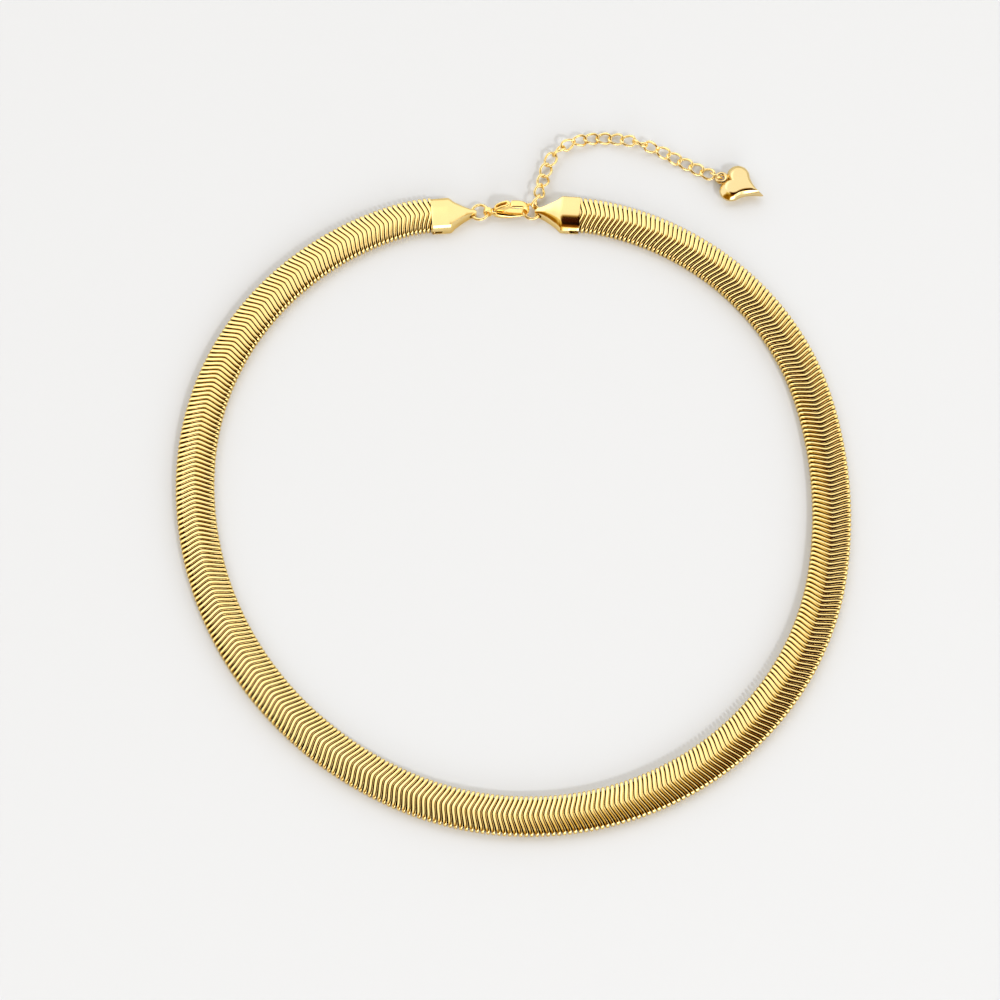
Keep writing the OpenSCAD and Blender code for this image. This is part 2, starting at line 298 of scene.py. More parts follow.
class Grain:
    """Shader parts that the finishes and the sky share."""

    @staticmethod
    def join(tree: bpy.types.NodeTree, *wires: tuple) -> None:
        """Links nodes.

        Args:
            tree: The tree that they are in.
            *wires: Each a node, its output, the next node and its input.
        """
        for start, leaves, end, enters in wires:
            tree.links.new(start.outputs[leaves], end.inputs[enters])

    @staticmethod
    def mix(
        tree: bpy.types.NodeTree, factor: object, a: object, b: object, how: str = "MIX"
    ) -> bpy.types.NodeSocket:
        """Mixes two colours. Each input is a socket or a plain value.

        Args:
            tree: Where the node goes.
            factor: How much of the second colour.
            a: First colour.
            b: Second colour.
            how: Blend type.

        Returns:
            The mixed colour.
        """
        node = tree.nodes.new("ShaderNodeMix")
        node.data_type = "RGBA"
        node.blend_type = how
        for name, value in (("Factor", factor), ("A", a), ("B", b)):
            if isinstance(value, bpy.types.NodeSocket):
                tree.links.new(value, node.inputs[name])
            else:
                node.inputs[name].default_value = value
        return node.outputs["Result"]

    @staticmethod
    def polish() -> bpy.types.NodeTree:
        """Returns the group for fine polishing marks and uneven tone, made on its first use.

        It has a Tone mask, a Roughness value and a Height.
        """
        tree = bpy.data.node_groups.get("polish")
        if tree is not None:
            return tree
        tree = bpy.data.node_groups.new("polish", "ShaderNodeTree")
        for name, value in (("Scale", 900.0), ("Roughness", 0.2), ("Spread", 0.06)):
            socket = tree.interface.new_socket(name=name, in_out="INPUT", socket_type="NodeSocketFloat")
            socket.default_value = value
        for name in ("Tone", "Roughness", "Height"):
            tree.interface.new_socket(name=name, in_out="OUTPUT", socket_type="NodeSocketFloat")
        nodes = tree.nodes
        entry = nodes.new("NodeGroupInput")
        leave = nodes.new("NodeGroupOutput")
        place = nodes.new("ShaderNodeTexCoord")
        cloud = nodes.new("ShaderNodeTexNoise")
        cloud.inputs["Detail"].default_value = 3
        marks = nodes.new("ShaderNodeTexNoise")
        marks.inputs["Detail"].default_value = 2
        finer = nodes.new("ShaderNodeMath")
        finer.operation = "MULTIPLY"
        finer.inputs[1].default_value = 9
        rough = nodes.new("ShaderNodeMath")
        rough.operation = "MULTIPLY_ADD"
        Grain.join(
            tree,
            (entry, "Scale", cloud, "Scale"),
            (entry, "Scale", finer, 0),
            (finer, 0, marks, "Scale"),
            (place, "Object", cloud, "Vector"),
            (place, "Object", marks, "Vector"),
            (cloud, "Fac", rough, 0),
            (entry, "Spread", rough, 1),
            (entry, "Roughness", rough, 2),
            (cloud, "Fac", leave, "Tone"),
            (rough, 0, leave, "Roughness"),
            (marks, "Fac", leave, "Height"),
        )
        return tree


@dataclass(frozen=True)
class Gold:
    """A gold plated finish, which also paints shade into the gaps between ribs when it has a groove colour."""

    name: str
    slot: str
    light: Triple
    deep: Triple
    roughness: float
    rim: Triple = (1.0, 0.86, 0.5)
    spread: float = 0.05
    scale: float = 700.0
    bump: float = 0.03
    # groove: the colour of painted shade for the gaps between ribs, blended in by a mask on the mesh.
    groove: Triple | None = None

    def material(self) -> bpy.types.Material:
        """Returns the finish as a material, made on its first use."""
        material = bpy.data.materials.get(self.name)
        if material is not None:
            return material
        material = bpy.data.materials.new(self.name)
        material.use_nodes = True
        tree = material.node_tree
        nodes, links = tree.nodes, tree.links
        shader = nodes["Principled BSDF"]
        shader.inputs["Metallic"].default_value = 1.0
        shader.inputs["Specular Tint"].default_value = (*self.rim, 1)
        polish = nodes.new("ShaderNodeGroup")
        polish.node_tree = Grain.polish()
        polish.inputs["Scale"].default_value = self.scale
        polish.inputs["Roughness"].default_value = self.roughness
        polish.inputs["Spread"].default_value = self.spread
        colour = Grain.mix(tree, polish.outputs["Tone"], (*self.deep, 1), (*self.light, 1))
        # Painted shade: a per-vertex mask blends the base colour and the reflection tint towards the groove
        # colour, so the gaps and walls between the ribs look shaded.
        if self.groove is not None:
            painted_groove_shade = nodes.new("ShaderNodeAttribute")
            painted_groove_shade.attribute_name = "painted_groove_shade"
            shade_mask, dark = painted_groove_shade.outputs["Fac"], (*self.groove, 1)
            colour = Grain.mix(tree, shade_mask, colour, dark)
            links.new(Grain.mix(tree, shade_mask, (*self.rim, 1), dark), shader.inputs["Specular Tint"])
        links.new(colour, shader.inputs["Base Color"])
        bump = nodes.new("ShaderNodeBump")
        bump.inputs["Strength"].default_value = self.bump
        bump.inputs["Distance"].default_value = 0.00002
        Grain.join(
            tree,
            (polish, "Roughness", shader, "Roughness"),
            (polish, "Height", bump, "Height"),
            (bump, "Normal", shader, "Normal"),
        )
        return material


# The woven finish has a near-black groove colour: painted shade for the gaps between the ribs.
WOVEN = Gold(
    "woven_plate", "woven_gold", (1.0, 0.77, 0.33), (0.93, 0.67, 0.24), 0.15, groove=(0.012, 0.004, 0.0002)
)
SHEET = Gold("sheet_plate", "cap_gold", (0.91, 0.69, 0.31), (0.88, 0.66, 0.27), 0.1, scale=300)
CAST = Gold("cast_plate", "fitting_gold", (1.0, 0.75, 0.3), (0.95, 0.68, 0.23), 0.15)
WIRE = Gold("wire_plate", "fitting_gold", (1.0, 0.79, 0.38), (0.92, 0.7, 0.3), 0.2)
PUFFED = Gold("puffed_plate", "drop_gold", (0.8, 0.62, 0.31), (0.76, 0.57, 0.26), 0.07, scale=250)


def finish(
    piece: Piece, gold: Gold, nodes: Sequence[str], body: Body = Body.NECKLACE, angle: float = 35
) -> None:
    """Turns a piece into metres, dresses it and fastens it to its body.

    Args:
        piece: The piece, in its place in millimetres.
        gold: Its finish.
        nodes: The solids that it stands for.
        body: The body that it rides on.
        angle: Edges sharper than this stay sharp, in degrees.
    """
    Bench.seat(piece, Matrix.Scale(0.001, 4))
    bpy.ops.object.shade_smooth_by_angle(angle=math.radians(angle))
    piece.data.materials.clear()
    piece.data.materials.append(gold.material())
    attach(piece, body.value)
    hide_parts(*nodes)
    LOG.info("%s: %d faces", piece.name, len(piece.data.polygons))


@dataclass
class Route:
    """The middle line of the loop, from the middle of the clasp and clockwise seen from above."""

    length: float = 406
    arcs: tuple[Pair, ...] = (
        (6, 2.4),
        (6, 0.46),
        (64, 0.87),
        (24, 1.35),
        (104, 0),
        (69, 1.1),
        (68, 0),
        (13, 0.46),
        (6, 2.4),
    )

    def __post_init__(self) -> None:
        """Solves the two open arcs and lays the corners out."""
        turns = [sum(turn for turn, _ in self.arcs[:i]) for i in range(len(self.arcs) + 1)]
        chords = [Vector((sin(b) - sin(a), cos(b) - cos(a))) for a, b in zip(turns, turns[1:])]
        gap = Vector((0, 0))
        for chord, (_, share) in zip(chords, self.arcs):
            gap += chord * share
        one, two = [i for i, (_, share) in enumerate(self.arcs) if share == 0]
        det = chords[one].cross(chords[two])
        shares = [share for _, share in self.arcs]
        shares[one] = -gap.cross(chords[two]) / det
        shares[two] = -chords[one].cross(gap) / det
        mean = self.length / sum(math.radians(turn) * share for (turn, _), share in zip(self.arcs, shares))
        self.turns = turns
        self.radii = [share * mean for share in shares]
        self.starts = [0.0]
        self.corners = [Vector((0, 0))]
        for i, chord in enumerate(chords):
            self.starts.append(self.starts[-1] + math.radians(self.arcs[i][0]) * self.radii[i])
            self.corners.append(self.corners[-1] + chord * self.radii[i])
        low = min(
            corner.y - radius * (1 + cos(a)) if a < 180 < b else corner.y
            for corner, radius, a, b in zip(self.corners, self.radii, turns, turns[1:])
        )
        self.shift = Vector((0, -low / 2))

    def turn(self, along: float) -> float:
        """Returns how far the route has turned at a length along it, in degrees."""
        i = max(k for k in range(len(self.arcs)) if k == 0 or self.starts[k] <= along)
        return self.turns[i] + math.degrees((along - self.starts[i]) / self.radii[i])

    def point(self, along: float) -> Vector:
        """Returns the point of the route at a length along it."""
        i = max(k for k in range(len(self.arcs)) if k == 0 or self.starts[k] <= along)
        a, b = self.turns[i], self.turn(along)
        return self.corners[i] + self.radii[i] * Vector((sin(b) - sin(a), cos(b) - cos(a))) + self.shift


@dataclass
class Fastening:
    """Where the caps, rings and clasp lie. Left is -1 and right is 1."""

    route: Route
    ring_od: float = 4.0
    ring_wire: float = 0.6
    ring_seat: float = 0.08
    clasp_len: float = 9.8
    clasp_lean: float = 14
    cap_len: float = 9.4
    cap_h: float = 2.6
    tip_over: float = 0.9
    cap_eye_share: float = 0.36
    eye_r: float = 0.98
    eye_t: float = 1.1
    eye_in: float = 1.0
    eye_up: float = 1.0
    grip_in: float = 1.45
    grip_up: float = 1.6
    lift: float = 0.01

    def __post_init__(self) -> None:
        """Works out the stations along the route."""
        self.ring_r = (self.ring_od - self.ring_wire) / 2
        self.reach = self.cap_len - self.tip_over
        self.eye_x = self.eye_in - self.clasp_len / 2
        self.grip_x = self.clasp_len / 2 - self.grip_in
        self.cap_eye_z = self.cap_eye_share * self.cap_h
        self.eye_z = self.eye_r * cos(self.clasp_lean) + self.eye_t / 2 * sin(self.clasp_lean) + self.lift
        self.grip_z = self.eye_z + (self.grip_up - self.eye_up) * cos(self.clasp_lean)
        hold = 2 * self.ring_r - self.ring_seat
        self.eyes = {-1: self.route.length - (hold - self.eye_x), 1: hold + self.grip_x}
        self.mouths = {side: eye + side * self.reach for side, eye in self.eyes.items()}

    def cap_turn(self, side: int) -> float:
        """Returns the route's turn half-way along a cap."""
        return self.route.turn((self.eyes[side] + self.mouths[side]) / 2)

    def cap_axis(self, side: int) -> float:
        """Returns the direction from a cap's mouth to its tip, in degrees."""
        return (180 if side > 0 else 0) - self.cap_turn(side)

    def cap_point(self, side: int, along: float) -> Vector:
        """Returns the point on a cap's axis at a length from its mouth."""
        return self.route.point(self.eyes[side]) + (along - self.reach) * ray(self.cap_axis(side))

    def cap_place(self, side: int) -> Matrix:
        """Returns the frame of a cap: +X from its mouth to its tip."""
        return Matrix.Translation(self.cap_point(side, 0).to_3d()) @ spin(self.cap_axis(side), "Z")

    def ring_place(self, side: int) -> Matrix:
        """Returns the frame of a jump ring, tilted between the holes that it joins."""
        left, right = (self.cap_eye_z, self.eye_z) if side < 0 else (self.grip_z, self.cap_eye_z)
        middle = self.cap_point(side, self.reach + self.ring_r - self.ring_seat).to_3d()
        middle.z = (left + right) / 2
        return Matrix.Translation(middle) @ Matrix.Rotation(math.atan2(left - right, 2 * self.ring_r), 4, "Y")

    def clasp_place(self) -> Matrix:
        """Returns the frame of the clasp, which leans back about its eye."""
        middle = self.route.point(0).to_3d()
        middle.z = self.eye_z
        return Matrix.Translation(middle) @ spin(-self.clasp_lean, "X") @ Matrix.Translation((0, 0, -self.eye_up))


@dataclass
class WovenBand:
    """The flat woven chain: V-shaped ribs side by side, one skin all round."""

    route: Route
    fastening: Fastening
    width: float = 7.8
    thick: float = 2.2
    crown: float = 0.2
    pitch: float = 0.98
    reach: float = 1.1
    edge_gap: float = 0.38
    apex_gap: float = 0.17
    depth: float = 0.2
    edge_depth: float = 0.6
    finger_depth: float = 0.9
    tilt: float = 13
    tilt_share: float = 1.1
    bend: float = 0.25
    wall: float = 0.015
    lip: float = 0.1
    lip_fall: float = 0.08
    crest_fall: float = 0.015
    heel: float = 0.05
    heel_fall: float = 0.03
    face_gap: float = 0.06
    square: float = 0.75
    end_zone: float = 14

    def stations(self) -> list[tuple[Vector, Vector]]:
        """Returns the points round the band's section, each with its outward direction."""
        round_w = self.thick / 2
        round_h = (self.thick - self.crown) / 2
        shoulder = self.width / 2 - round_w
        half = [(Vector((shoulder * k / 2, 0)), Vector((0, -1))) for k in range(2)]
        for k in range(8):
            a = -90 + 180 * k / 7
            over, up = (math.copysign(abs(f) ** self.square, f) for f in (cos(a), sin(a)))
            out = Vector((cos(a) * abs(cos(a)) ** 0.3, sin(a) * abs(sin(a)) ** 0.3)).normalized()
            half.append((Vector((shoulder + round_w * over, round_h * (1 + up))), out))
        for k in range(6, 0, -1):
            u = shoulder * k / 7
            out = Vector((2 * self.crown * u / shoulder**2, 1)).normalized()
            half.append((Vector((u, self.thick - self.crown * (k / 7) ** 2)), out))
        top = [(Vector((0, self.thick)), Vector((0, 1)))]
        flip = [(Vector((-p.x, p.y)), Vector((-n.x, n.y))) for p, n in reversed(half)]
        return half + top + flip

    def cell(self) -> Piece:
        """Models one rib with the groove before the next: a grid rolled round the section.

        Each column across the rib has its place along the band, how far it is set in under the
        band's skin, and how much painted shade the finish puts on it, which darkens the gaps and walls.

        Returns:
            The rib, open at both ends of its pitch.
        """
        rows = self.stations()
        Bench.clear()
        bpy.ops.mesh.primitive_grid_add(x_subdivisions=7, y_subdivisions=len(rows) - 1, size=2)
        piece = Bench.named("woven_band")
        shape = bmesh.from_edit_mesh(piece.data)
        shape.verts.ensure_lookup_table()
        # The mask of painted shade, stored on each vertex: 1 in the gap between ribs, 0.2 and 0.3 on the walls, 0
        # on the top.
        shade_mask = shape.verts.layers.float.new("painted_groove_shade")
        for j, (point, out) in enumerate(rows):
            side = min(abs(point.x) / (self.width / 2), 1)
            ease = self.bend * (1 - (1 - side) ** 2) + (1 - self.bend) * side * side * (3 - 2 * side)
            gap = self.apex_gap + (self.edge_gap - self.apex_gap) * side**2
            half = self.pitch * (1 - gap) / 2
            deep = self.depth + (self.edge_depth - self.depth) * side
            deep += (self.finger_depth - self.edge_depth) * abs(out.x) ** 0.5 * side
            drop = math.tan(math.radians(self.tilt)) * self.tilt_share * half
            columns = (
                (-half, deep, 1.0),
                (-half + self.wall, self.lip_fall, 0.2),
                (-half + self.lip, self.crest_fall, 0.0),
                (-0.02 * half, 0.0, 0.0),
                (half - self.heel, drop, 0.0),
                (half - self.wall, drop + self.heel_fall, 0.3),
                (half, deep, 1.0),
                (self.pitch - half, deep, 1.0),
            )
            for i, (x, inset, shade) in enumerate(columns):
                v = shape.verts[j * len(columns) + i]
                flat = point - out * inset
                v.co = Vector((x - self.reach * ease, flat.x, max(flat.y, 0)))
                v[shade_mask] = shade
        bmesh.update_edit_mesh(piece.data)
        bpy.ops.mesh.select_all(action="SELECT")
        bpy.ops.mesh.remove_doubles(threshold=0.002)
        Bench.outward(piece)
        return piece

    def build(self) -> None:
        """Repeats the rib along the route and trims the ends at the caps' mouths."""
        first = self.fastening.mouths[1]
        last = self.fastening.mouths[-1]
        count = round((last - first) / self.pitch)
        extra = 3
        piece = self.cell()
        Bench.hold(piece)
        piece.location.x = first - extra * self.pitch
        bpy.ops.object.transform_apply(location=True)
        Bench.modify(
            piece,
            "ARRAY",
            count=count + 2 * extra,
            use_relative_offset=False,
            use_constant_offset=True,
            constant_offset_displace=((last - first) / count, 0, 0),
            use_merge_vertices=True,
            merge_threshold=0.03,
        )
        line = self.centre_line()
        Bench.modify(piece, "CURVE", object=line, deform_axis="POS_X")
        bpy.data.objects.remove(line)
        for side in (-1, 1):
            self.trim(piece, side)
        finish(piece, WOVEN, ["band"], angle=50)

    def centre_line(self) -> Piece:
        """Draws the route as a curve for the ribs to follow.

        Returns:
            The curve.
        """
        steps = 812
        Bench.clear()
        bpy.ops.curve.primitive_nurbs_path_add()
        line = bpy.context.active_object
        line.data.splines.clear()
        line.data.dimensions = "2D"
        spline = line.data.splines.new("POLY")
        spline.points.add(steps)
        for k, knot in enumerate(spline.points):
            spot = self.route.point(min(self.route.length * k / steps, self.route.length - 1e-6))
            knot.co = (spot.x, spot.y, 0, 1)
        return line

    def trim(self, piece: Piece, side: int) -> None:
        """Cuts one end of the band flat at the mouth of its cap.

        Args:
            piece: The whole band.
            side: Which cap.
        """
        mouth = self.fastening.cap_point(side, -self.face_gap).to_3d()
        along = ray(self.fastening.cap_axis(side)).to_3d()
        Bench.hold(piece)
        bpy.ops.object.mode_set(mode="EDIT")
        Bench.pick(piece, lambda v: (v.co - mouth).length < self.end_zone)
        bpy.ops.mesh.bisect(plane_co=mouth, plane_no=along, use_fill=True, clear_outer=True, threshold=0.0005)
        bpy.ops.object.mode_set(mode="OBJECT")


@dataclass
class EndCap:
    """A folded sheet cap over one end of the band."""

    fastening: Fastening
    side: int
    width: float = 7.9
    wall: float = 0.35
    bore: float = 0.55
    hollow: float = 3.6
    seam_slant: float = 0.3
    steps: int = 22

    SEAM = (2.1, 0.35, 1.1)
    TAPER = (
        (0, 1, 1), (0.2, 1, 1), (0.4, 1, 1), (0.5, 0.77, 0.97), (0.57, 0.65, 0.95),
        (0.66, 0.5, 0.92), (0.78, 0.33, 0.85), (0.89, 0.21, 0.76), (0.96, 0.18, 0.7),
        (1, 0.15, 0.6),
    )
    CORNERS = (
        (-0.5, 0), (0.5, 0), (0.5, 0.2), (0.485, 0.4), (0.43, 0.62), (0.34, 0.81), (0.22, 0.93),
        (0.09, 1), (-0.41, 1), (-0.47, 0.78), (-0.5, 0.5),
    )

    def build(self) -> None:
        """Lofts the cap to its tip, opens its mouth and bores the tip."""
        size = self.fastening
        name = "end_cap_" + ("left" if self.side < 0 else "right")
        inside = [
            Vector((0, across * (self.width - 2 * self.wall), self.wall + up * (size.cap_h - 2 * self.wall)))
            for across, up in self.CORNERS
        ]
        rings = [[point + Vector((self.hollow, 0, 0)) for point in inside], inside]
        for step in range(self.steps + 1):
            place = step / self.steps
            wide, high = between(self.TAPER, place)
            wide, high = min(wide, 1), min(high, 1)
            rings.append(
                [
                    Vector((place * size.cap_len, across * wide * self.width, up * high * size.cap_h))
                    for across, up in self.CORNERS
                ]
            )
        piece = Bench.loft(name, rings)
        eye = Vector((size.reach, 0, size.cap_eye_z))
        Bench.cut(piece, Bench.rod(self.bore, self.width, eye), Cut.AWAY)
        x, low, high = self.SEAM
        seam = Bench.slab("seam", ((-1, low), (x - self.seam_slant, low), (x, high), (-1, high)), self.width * 1.2)
        Bench.cut(piece, seam, Cut.AWAY)
        Bench.soften(piece, 0.07, angle=24, segments=3)
        Bench.seat(piece, size.cap_place(self.side))
        finish(piece, SHEET, [name], angle=32)


@dataclass
class WireRing:
    """A round wire ring with its closed joint."""

    name: str
    outer: float
    wire: float
    joint_at: float = 200
    joint_round: float = 0.08
    joint_shut: float = 0.38

    def model(self, segments: int = 72, sides: int = 16) -> Piece:
        """Models the ring flat about its own middle.

        Returns:
            The ring.
        """
        Bench.clear()
        bpy.ops.mesh.primitive_torus_add(
            major_segments=segments,
            minor_segments=sides,
            major_radius=(self.outer - self.wire) / 2,
            minor_radius=self.wire / 2,
        )
        piece = Bench.named(self.name)
        step = 360 / segments
        near = [step * round(self.joint_at / step) + step * k for k in (0, 1)]

        def on(angle: float) -> Callable[[bmesh.types.BMVert], bool]:
            """Returns a test for the loop of the wire at an angle."""
            return lambda v: abs((math.degrees(math.atan2(v.co.y, v.co.x)) - angle + 180) % 360 - 180) < step / 4

        Bench.pick(piece, lambda v: on(near[0])(v) or on(near[1])(v))
        bpy.ops.mesh.delete(type="ONLY_FACE")
        for angle, way in zip(near, (1, -1)):
            Bench.pick(piece, on(angle))
            bpy.ops.mesh.edge_face_add()
            bpy.ops.mesh.inset(thickness=self.wire * self.joint_round, depth=0)
            Bench.pick(piece, on(angle))
            turned = Matrix.Rotation(math.radians(way * step * self.joint_shut), 3, "Z")
            shape = bmesh.from_edit_mesh(piece.data)
            for v in shape.verts:
                if v.select:
                    v.co = turned @ v.co
            bmesh.update_edit_mesh(piece.data)
        Bench.outward(piece)
        return piece


@dataclass
class Clasp:
    """The lobster clasp: claw, eye, cheeks and pin, and the lever in its slot."""

    fastening: Fastening
    height: float = 3.9
    thick: float = 2.6
    sides: int = 24
    through: float = 3
    eye_bore: float = 0.6
    pin_r: float = 0.28
    pin_share: float = 0.92
    pin_gap: float = 0.05
    lever_t: float = 1.0
    thumb_t: float = 1.7
    cheek_gap: float = 0.08
    nose_gap: float = 0.1
    thumb_long: float = 3.8
    thumb_slope: float = 27
    thumb_rim: float = 0.3
    thumb_bend: float = 0.1
    thumb_slot: Pair = (2.1, 0.44)
    thumb_at: ClassVar[Vector] = Vector((-1.08, 0, 3.12))

    CLAW = (
        (-0.33, 0.27, 0.2, 0.42), (-0.28, 0.28, 0.3, 0.7), (-0.22, 0.27, 0.38, 0.92),
        (-0.14, 0.235, 0.38, 1), (-0.04, 0.2, 0.35, 1), (0.06, 0.175, 0.31, 0.98),
        (0.14, 0.175, 0.27, 0.92), (0.22, 0.185, 0.21, 0.82), (0.31, 0.205, 0.18, 0.75),
        (0.41, 0.28, 0.17, 0.7), (0.452, 0.45, 0.18, 0.64), (0.42, 0.65, 0.19, 0.66),
        (0.34, 0.8, 0.2, 0.74), (0.23, 0.86, 0.19, 0.76), (0.08, 0.87, 0.18, 0.72),
    )
    LOW = ((-0.275, 0.3), (-0.24, 0.2), (-0.19, 0.2), (-0.14, 0.33), (-0.04, 0.5), (0.06, 0.66), (0.155, 0.76))
    HIGH = ((0.09, 0.93), (0.04, 1), (-0.04, 0.98), (-0.14, 0.86), (-0.22, 0.68), (-0.275, 0.47))
    BLADE = ((0.1, 0.88), (0.04, 0.9), (-0.04, 0.87), (-0.14, 0.76), (-0.22, 0.6), (-0.275, 0.45))
    SLOT = ((-0.302, 0.15), (-0.18, 0.15), (-0.133, 0.24), (-0.02, 0.32), (-0.02, 1.05), (-0.302, 1.05))

    def __post_init__(self) -> None:
        """Works out the pivot."""
        self.long = self.fastening.clasp_len
        self.pivot = Vector((-0.215 * self.long, 0, 0.33 * self.height))

    def scaled(self, points: Iterable[Pair]) -> list[Pair]:
        """Turns shares of the clasp's length and height into millimetres."""
        return [(x * self.long, z * self.height) for x, z in points]

    def claw_rings(self, between_rows: int = 3) -> list[Ring]:
        """Returns the claw's stations, smoothed between the table's rows."""
        rows = [[i, *row] for i, row in enumerate(self.CLAW)]
        last = len(rows) - 1
        places = [k / between_rows for k in range(last * between_rows + 1)]

        def spot(place: float) -> Vector:
            """Returns the middle of the wire at a place."""
            x, z, _, _ = between(rows, place)
            return Vector((x * self.long, 0, z * self.height))

        rings = []
        for place in places:
            ahead = spot(min(place + 0.1, last)) - spot(max(place - 0.1, 0))
            ahead.normalize()
            middle = spot(place)
            _, _, deep, wide = between(rows, place)
            up = Vector((-ahead.z, 0, ahead.x))
            ring = []
            for k in range(self.sides):
                a = 360 * k / self.sides
                rise, out = (math.copysign(abs(f) ** 0.8, f) for f in (cos(a), sin(a)))
                ring.append(
                    middle + up * (deep * self.height / 2 * rise) + Vector((0, -wide * self.thick / 2 * out, 0))
                )
            rings.append(ring)
        return rings

    def build_body(self) -> None:
        """Models the claw with its eye, its slot and its pin."""
        size = self.fastening
        piece = Bench.loft("clasp_body", self.claw_rings())
        eye = Vector((size.eye_x, 0, size.eye_up))
        ring = Bench.rod(size.eye_r, size.eye_t, eye)
        Bench.soften(ring, 0.14, segments=3)
        Bench.cut(piece, ring, Cut.TOGETHER)
        Bench.cut(piece, Bench.rod(self.eye_bore, self.through, eye), Cut.AWAY)
        slot = Bench.slab("slot", self.scaled(self.SLOT), self.lever_t + 2 * self.cheek_gap)
        Bench.cut(piece, slot, Cut.AWAY)
        (ax, az), (bx, bz) = self.scaled((self.LOW[-1], self.HIGH[0]))
        out = Vector((bz - az, ax - bx)).normalized() * self.nose_gap
        room = (
            (ax + out.x, az + out.y),
            (bx + out.x, bz + out.y),
            (bx - 1, bz + 1),
            (ax - 1, az - 1),
            (ax + 0.6, az - 0.6),
        )
        Bench.cut(piece, Bench.slab("room", room, self.through), Cut.AWAY)
        pin = Bench.rod(self.pin_r, self.thick * self.pin_share, self.pivot, 32)
        Bench.cut(piece, pin, Cut.TOGETHER)
        Bench.soften(piece, 0.05, angle=40)
        Bench.seat(piece, size.clasp_place())
        finish(piece, CAST, ["clasp_body"], angle=40)

    def thumb_loop(self) -> Piece:
        """Models the thumb piece: a thick wire drawn out to a stadium and bent over the blade.

        Returns:
            The loop, in the clasp's own frame.
        """
        rim = self.thumb_rim
        half = self.thumb_t / 2
        Bench.clear()
        bpy.ops.mesh.primitive_torus_add(
            major_segments=64, minor_segments=20, major_radius=half - rim, minor_radius=rim
        )
        loop = Bench.named("thumb_loop")
        for way in (-1, 1):
            Bench.pick(loop, lambda v, way=way: v.co.x * way > 1e-4)
            bpy.ops.transform.translate(value=(way * (self.thumb_long / 2 - half), 0, 0))
        shape = bmesh.from_edit_mesh(loop.data)
        for v in shape.verts:
            v.co.z -= self.thumb_bend * v.co.x**2
        bmesh.update_edit_mesh(loop.data)
        bpy.ops.object.mode_set(mode="OBJECT")
        Bench.seat(loop, self.thumb_place())
        return loop

    def thumb_place(self) -> Matrix:
        """Returns the frame of the thumb loop in the clasp's own frame."""
        return Matrix.Translation(self.thumb_at) @ spin(-self.thumb_slope, "Y")

    def build_lever(self) -> None:
        """Models the lever: a blade between the cheeks and a thumb loop with a slot on top."""
        outline = self.scaled(self.LOW + self.BLADE)
        piece = Bench.slab("clasp_lever", outline, self.lever_t)
        Bench.soften(piece, 0.12, angle=35, segments=3)
        Bench.cut(piece, self.thumb_loop(), Cut.TOGETHER)
        slot_long, slot_wide = self.thumb_slot
        end = slot_long / 2
        slot = Bench.slab("thumb_slot", ((-end, -1.3), (end, -1.3), (end, 1), (-end, 1)), slot_wide)
        Bench.soften(slot, 0.2, angle=60, segments=4)
        Bench.seat(slot, self.thumb_place())
        Bench.cut(piece, slot, Cut.AWAY)
        Bench.cut(piece, Bench.rod(self.pin_r + self.pin_gap, self.through, self.pivot, 32), Cut.AWAY)
        Bench.seat(piece, self.fastening.clasp_place())
        finish(piece, CAST, ["clasp_lever"], body=Body.LEVER, angle=35)

    def build(self) -> None:
        """Builds both pieces."""
        self.build_body()
        self.build_lever()


